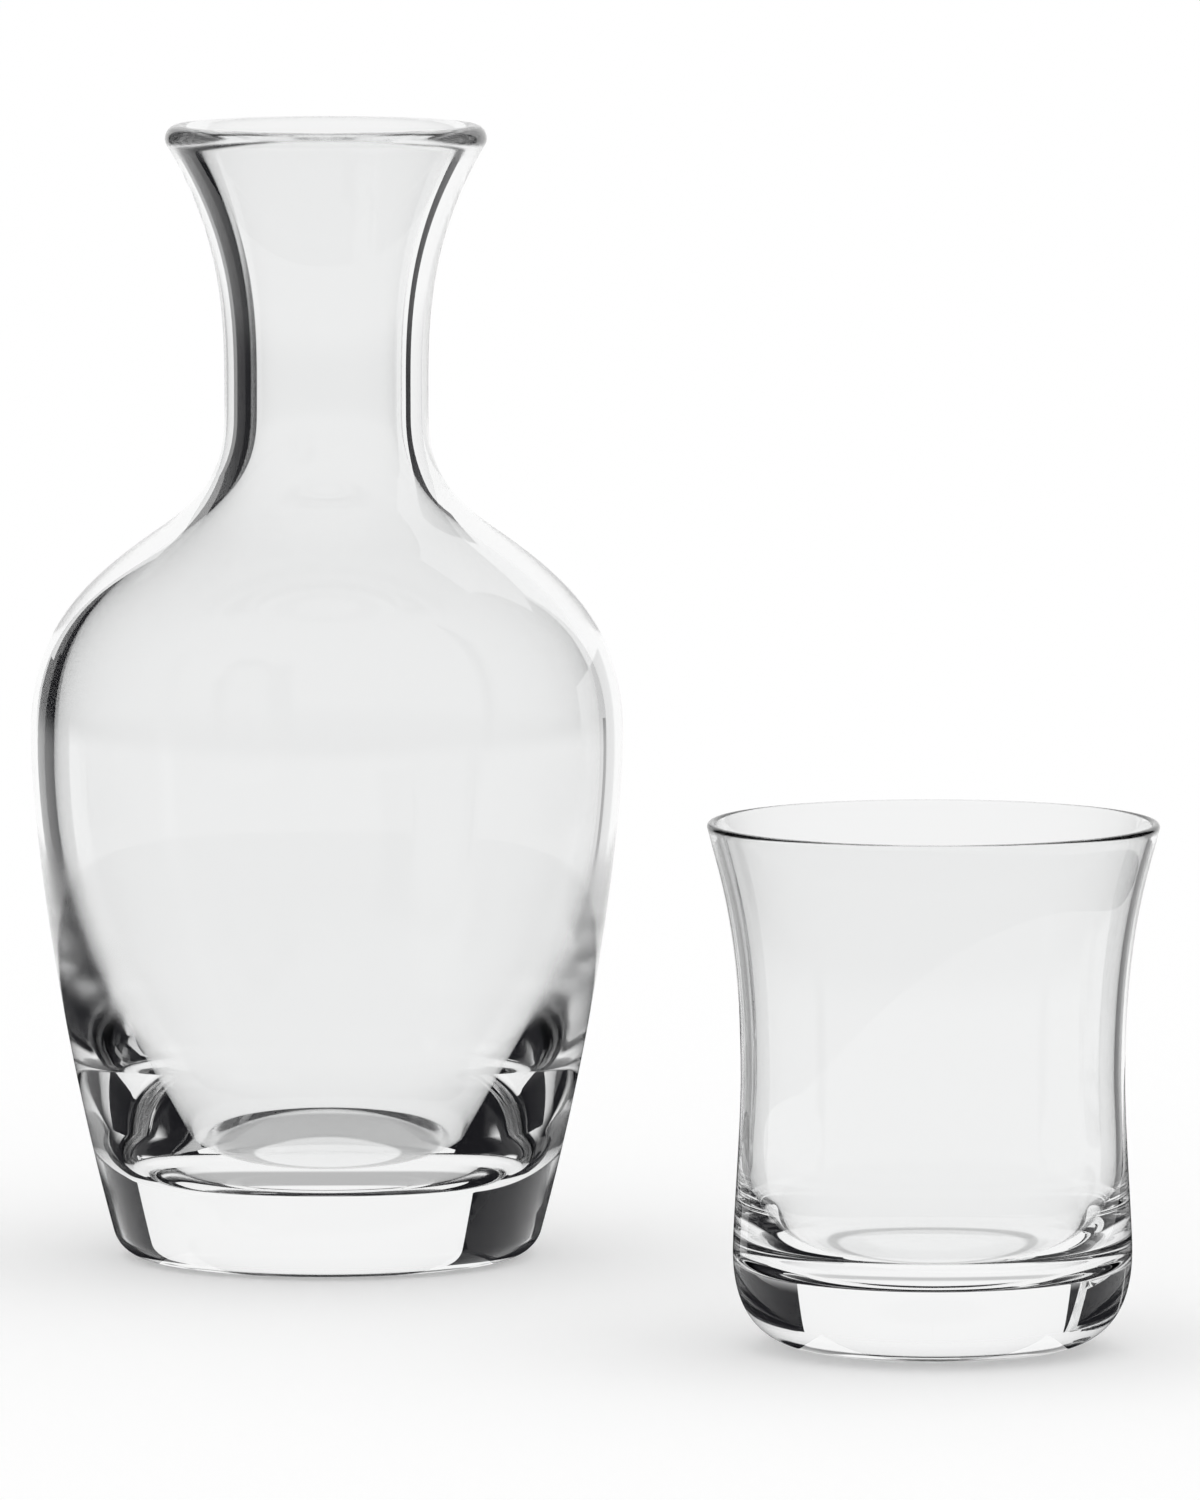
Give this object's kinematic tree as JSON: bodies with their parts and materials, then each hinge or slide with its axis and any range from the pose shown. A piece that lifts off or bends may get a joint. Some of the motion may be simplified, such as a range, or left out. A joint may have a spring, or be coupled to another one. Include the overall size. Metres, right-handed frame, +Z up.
{
  "type": "bedside carafe with tumbler",
  "caption": "Clear glass bedside carafe with a heavy base, narrow neck and flared lip, and a waisted glass tumbler that lifts off and, turned over, covers the mouth.",
  "frame": {"origin": "centre of the carafe's flat foot, on the table", "axes": "+Z up along the carafe's axis, +X to the viewer's right in the picture, -Y towards the viewer"},
  "size_m": [0.2014, 0.2163, 0.2066],
  "materials": {
    "carafe_glass": "clear, polished, thick-walled",
    "tumbler_glass": "clear, polished, thin-walled"
  },
  "bodies": {
    "carafe": {"carafe": "carafe_glass"},
    "tumbler": {"tumbler": "tumbler_glass"}
  },
  "joints": [
    {"name": "tumbler_lift", "type": "slide", "parent": "carafe", "child": "tumbler", "axis": [0, 0, 1], "range_m": [0, 0.22]}
  ]
}
